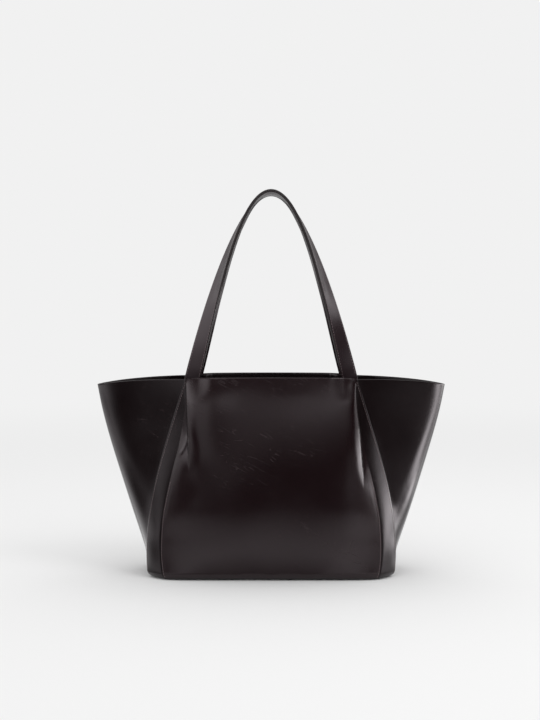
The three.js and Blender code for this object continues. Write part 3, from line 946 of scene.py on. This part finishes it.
for face in ("front", "back"):
    strap = shaped_grid(face + "_strap_leather", STRAP_COLUMNS, STRAP_ROWS, turned(strap_points, face))
    thin = strap.vertex_groups.new(name="thin ends")
    for vertex in strap.data.vertices:
        end = 1 - smooth(vertex.co.z / MM, ROOT_Z, ROOT_Z + SKIVED)
        thin.add([vertex.index], float(mix(1.0, TAB_THICK / STRAP_THICK, end)), "REPLACE")
    thicken(strap, STRAP_THICK, strap_calf, edge_paint, 0.8, weights="thin ends")
    way = 1 if face == "back" else -1
    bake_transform(strap)
    plies = [face + "_strap_" + ply for ply in ("face", "core", "backing")]
    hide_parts(*plies, face + "_left_strap_tab", face + "_right_strap_tab")
    print(strap.name, "has", len(strap.data.polygons), "faces")

# %% [markdown]
# ## Patches
# Behind each strap end a small square of split spreads the pull over the facing. It is a cube, flattened,
# turned to the strap's lean, cut into small faces and rounded at its edges.

# %% Patches
PATCH_SIZE = (24.0, 0.8, 28.0)
PATCH_MIDDLE = -41.6
PATCH_ROUND = 0.25
PATCH_BELOW = TAB_LENGTH - PATCH_SIZE[2] / 2

for face in ("front", "back"):
    for side in ("left", "right"):
        out = 1 if side == "right" else -1
        way = 1 if face == "back" else -1
        x = out * (STRAP_ROOT_HALF + PATCH_BELOW * math.sin(LEG_ANGLE))
        z = ROOT_Z - PATCH_BELOW * math.cos(LEG_ANGLE)
        deselect()
        bpy.ops.mesh.primitive_cube_add(
            size=MM, location=(x * MM, -way * PATCH_MIDDLE * MM, z * MM), rotation=(0, -out * LEG_ANGLE, 0),
            scale=PATCH_SIZE,
        )
        patch = bpy.context.object
        patch.name = patch.data.name = face + "_" + side + "_patch_suede"
        bpy.ops.object.transform_apply(location=True, rotation=True, scale=True)
        bpy.ops.object.mode_set(mode="EDIT")
        bpy.ops.mesh.subdivide(number_cuts=3)
        bpy.ops.object.mode_set(mode="OBJECT")
        soft = patch.modifiers.new("rounded edges", "BEVEL")
        soft.width = PATCH_ROUND * MM
        soft.segments = 2
        apply_all(patch)
        patch.data.materials.append(suede)
        keep(patch, "body", "split_leather", face + "_" + side + "_patch")

# %% [markdown]
# ## Stitching
# A lockstitch shows as a row of short threads, each sunk at both ends. One stitch is modelled as a small
# sphere drawn out to a grain of rice, and its copies are laid along a line on a finished sheet, all of one
# row in one mesh. A real thread here is about half a millimetre thick, drawn at 0.75 mm so that it shows.

# %% One stitch
STITCH = 2.9
PITCH = 3.8
THREAD = 0.75

deselect()
bpy.ops.mesh.primitive_uv_sphere_add(segments=8, ring_count=4, radius=0.5)
pattern = bpy.context.object
STITCH_POINTS = np.array([vertex.co[:] for vertex in pattern.data.vertices])[:, [2, 0, 1]]
STITCH_FACES = [tuple(polygon.vertices) for polygon in pattern.data.polygons]
bpy.data.objects.remove(pattern)
print("one stitch has", len(STITCH_FACES), "faces")

# %% The row maker


def at_stops(stops, run, values):
    return np.stack([np.interp(stops, run, values[:, k]) for k in range(3)], axis=-1)


def stitch_row(name, sheet, across, along, lift=0.08):
    """A row along a line on a sheet: across and along are its places there, lift is above the leather."""
    place = surfaces[sheet]
    g, w = np.broadcast_to(across, along.shape).astype(float), along
    line, normal = place(g, w), normals_of(place, g, w)
    run = np.concatenate([[0], np.cumsum(np.linalg.norm(np.diff(line, axis=0), axis=1))])
    stops = np.arange(PITCH / 2, run[-1], PITCH)
    middle = at_stops(stops, run, line + lift * normal)
    up = at_stops(stops, run, normal)
    ahead = at_stops(stops + 0.5, run, line) - at_stops(stops - 0.5, run, line)
    ahead /= np.linalg.norm(ahead, axis=1, keepdims=True)
    beside = np.cross(up, ahead)
    long, wide, high = (STITCH_POINTS[:, k] * size for k, size in enumerate((STITCH, THREAD, THREAD)))
    points = middle[:, None] + long[:, None] * ahead[:, None] + wide[:, None] * beside[:, None]
    points += high[:, None] * up[:, None]
    count = len(STITCH_POINTS)
    faces = [tuple(k * count + i for i in face) for k in range(len(stops)) for face in STITCH_FACES]
    data = bpy.data.meshes.new(name)
    data.from_pydata((points.reshape(-1, 3) * MM).tolist(), [], faces)
    data.materials.append(thread)
    made = bpy.data.objects.new(name, data)
    bpy.context.collection.objects.link(made)
    data.shade_smooth()
    print(name, "has", len(stops), "stitches")
    return made


# %% Rows on the bag
STRIP_ROW = 0.8
SEAM_ROW = 0.905

up_the_wall = np.linspace(0.03, 0.985, 300)
low_seam = np.linspace(0.03, 0.5, 160)
for face in ("front", "back"):
    for side in ("left", "right"):
        outer = -1 if (side == "left") != (face == "back") else 1
        corner = face + "_" + side
        strip_name = corner + "_strip"
        row = stitch_row(
            strip_name + "_stitches", strip_name + "_leather", STRIP_ROW * outer, up_the_wall
        )
        keep(row, "body", "dark_leather")
        row = stitch_row(corner + "_seam_stitches", face + "_panel_leather", SEAM_ROW * outer, low_seam)
        keep(row, "body", "dark_leather")

# %% Rows on the straps
STRAP_ROW = 0.82

over_the_strap = np.linspace(0.06, 0.94, 700)
for face in ("front", "back"):
    way = 1 if face == "back" else -1
    for edge_name, across in (("inner", STRAP_ROW), ("outer", -STRAP_ROW)):
        row_name = face + "_strap_" + edge_name + "_stitches"
        row = stitch_row(row_name, face + "_strap_leather", across, over_the_strap, lift=-0.1)
        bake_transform(row)

# %% [markdown]
# ## Hidden hardware
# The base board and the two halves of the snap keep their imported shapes, which are right as they are, and
# only get their finishes.

# %% Board and snap
for name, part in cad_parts.items():
    if "snap" in name:
        part.material_slots[0].material = nickel
    if name == "base_board":
        part.material_slots[0].material = board
print("finished", [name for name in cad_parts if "snap" in name or name == "base_board"])

# %% [markdown]
# ## Stage and light
# The bag stands on a table covered with white paper that fades into a white room. The lit table close in
# front of it shows as the pale lower third of the panel, and the dark room beyond as the dark middle. That
# room is stood in for by cards that only reflections see: dark low down, pale where a soft box hangs, and
# dark above it. A bright strip of card on the right draws the line along that wing.

# %% Room and table
ROOM = 0.88
TABLE_RADIUS = 9

bpy.context.scene.view_settings.view_transform = "Standard"
world = bpy.data.worlds.new("white room")
bpy.context.scene.world = world
world.use_nodes = True
world.node_tree.nodes["Background"].inputs["Color"].default_value = (ROOM, ROOM, ROOM, 1)

deselect()
bpy.ops.mesh.primitive_circle_add(vertices=96, radius=TABLE_RADIUS, fill_type="NGON")
floor = bpy.context.object
floor.name = "floor"
paper = new_finish("white paper sweep")
paper_place = node(paper, "ShaderNodeTexCoord").outputs["Object"]
paper_far = node(paper, "ShaderNodeVectorMath", {"operation": "LENGTH"}, _0=paper_place).outputs["Value"]
paper_share = node(
    paper, "ShaderNodeMapRange", {"interpolation_type": "SMOOTHSTEP"}, Value=paper_far, _1=0.5, _2=3.0
).outputs[0]
dress(paper, Base_Color=(0.84, 0.84, 0.84, 1), Roughness=0.9, Specular_IOR_Level=0.0)
paper_glow = node(paper, "ShaderNodeEmission", Color=(ROOM, ROOM, ROOM, 1), Strength=1.0).outputs[0]
paper_skin = paper.node_tree.nodes["Principled BSDF"].outputs[0]
paper_mix = node(paper, "ShaderNodeMixShader", _0=paper_share, _1=paper_skin, _2=paper_glow).outputs[0]
fill(paper.node_tree, paper.node_tree.nodes["Material Output"], {"Surface": paper_mix})
floor.data.materials.append(paper)
print("the table is", 2 * TABLE_RADIUS, "metres across and fades into the room")

# %% [markdown]
# ## Cards that only reflections see
# A card lies on the table from the bag's foot outwards and then stands up as a curved wall. Each place on
# it has a turn, in degrees from the front, and a rise, in metres up from the bend; below 0 it lies on the
# table. Short lists give a light's strength, or the turn where it begins, at a few rises.

# %% Table and top light
CARD_FAR = 1.5
FOOT_REACH = {0: 0.085, 30: 0.1, 45: 0.125, 60: 0.185}
TABLE_TURN = [15, 25, 35, 45, 55, 62, 70, 80]
TABLE_NEAR = [0.1, 0.1, 0.15, 0.3, 0.4, 0.3, 0.2, 0.15]
TABLE_FAR = [0.5, 0.68, 0.9, 1.3, 1.3, 1.0, 0.7, 0.5]
TOP_GLOW = {0.2: 0.02, 0.45: 0.15, 0.6: 0.28, 0.9: 0.4, 1.1: 0.5, 1.3: 0.5, 1.42: 0.3, 1.6: 0.03}


def foot_reach(turn):
    """How far from the middle the card begins, just outside the bag's foot."""
    return from_table(abs(turn), FOOT_REACH)


def table_light(turn, rise):
    """The lit table fades with distance, reaches farthest at the corners, and dims at the bag's foot."""
    near, far = (np.interp(abs(turn), TABLE_TURN, reach) for reach in (TABLE_NEAR, TABLE_FAR))
    light = 0.8 * (1 - smooth(rise + CARD_FAR, near, far))
    return light * mix(0.3, 1.0, smooth(rise + CARD_FAR - foot_reach(turn), 0.0, 0.07))


def top_light(turn, rise):
    """A soft box high up in front, stronger to the right."""
    to_the_right = 1 + smooth(turn, -6, 14) * smooth(rise, 0.7, 1.0)
    return from_table(rise, TOP_GLOW) * (to_the_right * (1 - smooth(abs(turn), 30, 50)))


def window_light(turn, rise):
    """A faint, broad light to the left of the front."""
    across = 0.5 * smooth(turn, -39, -33) * smooth(-turn, 9, 20)
    return across * smooth(rise, -0.3, 0.2) * smooth(1.2 - rise, 0, 0.3)


# %% Side light
LEFT_EDGE = {-0.95: 88, -0.8: 80, -0.64: 71, -0.45: 66, -0.3: 58, 0.22: 57, 0.38: 52, 0.55: 38}
LEFT_GLOW = {0: 1.5, 0.07: 0.9, 0.15: 0.5, 0.25: 0.9, 0.4: 0.8, 0.6: 1.4, 0.9: 2.0, 2.0: 1.6, 2.2: 0}
RIGHT_EDGE = {
    -1.0: 82, -0.9: 79, -0.84: 76, -0.77: 70, -0.64: 67, -0.42: 64, -0.12: 62,
    0.03: 68, 0.1: 67, 0.17: 61, 0.23: 57, 0.45: 57, 0.8: 75,
}
RIGHT_GLOW = {
    -1.08: 1.2, -0.97: 7.5, 0.1: 7.5, 0.16: 4.7, 0.23: 2.5, 0.3: 1.3,
    0.42: 0.9, 0.6: 1.2, 0.8: 2.6, 1.0: 3.5, 1.15: 0,
}
PALE_GLOW = {-0.6: 0.26, -0.4: 0.14, -0.1: 0.1, 0.03: 0.2, 0.1: 0.24, 0.2: 0}


def left_light(turn, rise):
    """A broad light that comes in gradually, with a darker gap far out just above the bend."""
    edge = from_table(rise, LEFT_EDGE)
    light = from_table(rise, LEFT_GLOW) * smooth(-turn, edge - 9, edge + 16)
    gap = 0.7 * smooth(-turn, 68, 78)
    return light * (1 - gap * smooth(rise, -0.15, 0.0) * (1 - smooth(rise, 0.12, 0.2)))


def right_light(turn, rise):
    """A bright light with a sharp inner edge; on the table it is only a strip."""
    edge = from_table(rise, RIGHT_EDGE)
    strip = smooth(turn, edge - 2, edge + 9)
    beyond = 0.76 * smooth(turn, edge + 11, edge + 22) * (rise < 0)
    return from_table(rise, RIGHT_GLOW) * (strip - beyond)


def pale_light(turn, rise):
    """A faint glow over the whole right side, on the table and just above it."""
    return from_table(rise, PALE_GLOW) * smooth(turn, 34, 40)


# %% Front and back cards


def front_room(turn, rise):
    lights = (table_light, top_light, window_light, left_light, right_light, pale_light)
    return sum(light(turn, rise) for light in lights)


def back_room(turn, rise):
    """White behind the bag, but for a dark gap straight behind it."""
    return 0 * rise + ROOM * smooth(abs(turn - 180), 10, 30)


card_finish = new_finish("lit card")
card_glow = node(card_finish, "ShaderNodeAttribute", {"attribute_name": "glow"}).outputs["Fac"]
card_light = node(card_finish, "ShaderNodeEmission", Color=card_glow, Strength=1.0).outputs[0]
fill(card_finish.node_tree, card_finish.node_tree.nodes["Material Output"], {"Surface": card_light})


def card(name, turns, floor_rings, heights, glow):
    points, glows = [], []
    for turn in turns:
        rings = np.linspace(foot_reach(turn), CARD_FAR, floor_rings, endpoint=False)
        reach = np.concatenate([rings, CARD_FAR + 0 * heights])
        rise = np.concatenate([reach[:floor_rings] - CARD_FAR, heights])
        way = math.radians(turn)
        points += [(r * math.sin(way), -r * math.cos(way), max(z, 0) + MM) for r, z in zip(reach, rise)]
        glows += list(glow(turn, rise))
    count = len(rise)
    faces = []
    for k in range(0, (len(turns) - 1) * count, count):
        faces += [(k + i, k + count + i, k + count + i + 1, k + i + 1) for i in range(count - 1)]
    data = bpy.data.meshes.new(name)
    data.from_pydata(points, [], faces)
    made = bpy.data.objects.new(name, data)
    bpy.context.collection.objects.link(made)
    data.attributes.new("glow", "FLOAT", "POINT").data.foreach_set("value", glows)
    data.materials.append(card_finish)
    made.visible_camera = False
    made.visible_diffuse = False
    made.visible_shadow = False
    print(name, "has", len(faces), "faces, lit up to", round(float(max(glows)), 1))


card("front_card", np.linspace(-115, 115, 139), 40, np.linspace(0, 2.6, 53), front_room)
card("back_card", np.linspace(150, 210, 25), 0, np.linspace(0.25, 2.6, 20), back_room)

# %% Soft boxes


def soft_box(name, place, aim, size, power):
    lamp = bpy.data.lights.new(name, "AREA")
    lamp.shape = "RECTANGLE"
    lamp.size, lamp.size_y = size
    lamp.energy = power
    made = bpy.data.objects.new(name, lamp)
    bpy.context.collection.objects.link(made)
    made.location = place
    made.rotation_euler = (Vector(aim) - Vector(place)).to_track_quat("-Z", "Y").to_euler()
    made.visible_camera = False
    print(name, "of", power, "watts")


soft_box("key_soft_box", (1.2, -1.0, 1.9), (0.1, 0, 0.2), (1.0, 1.0), 8)
soft_box("top_soft_box", (0.0, 0.2, 2.2), (0, 0, 0.2), (2.0, 1.6), 8)
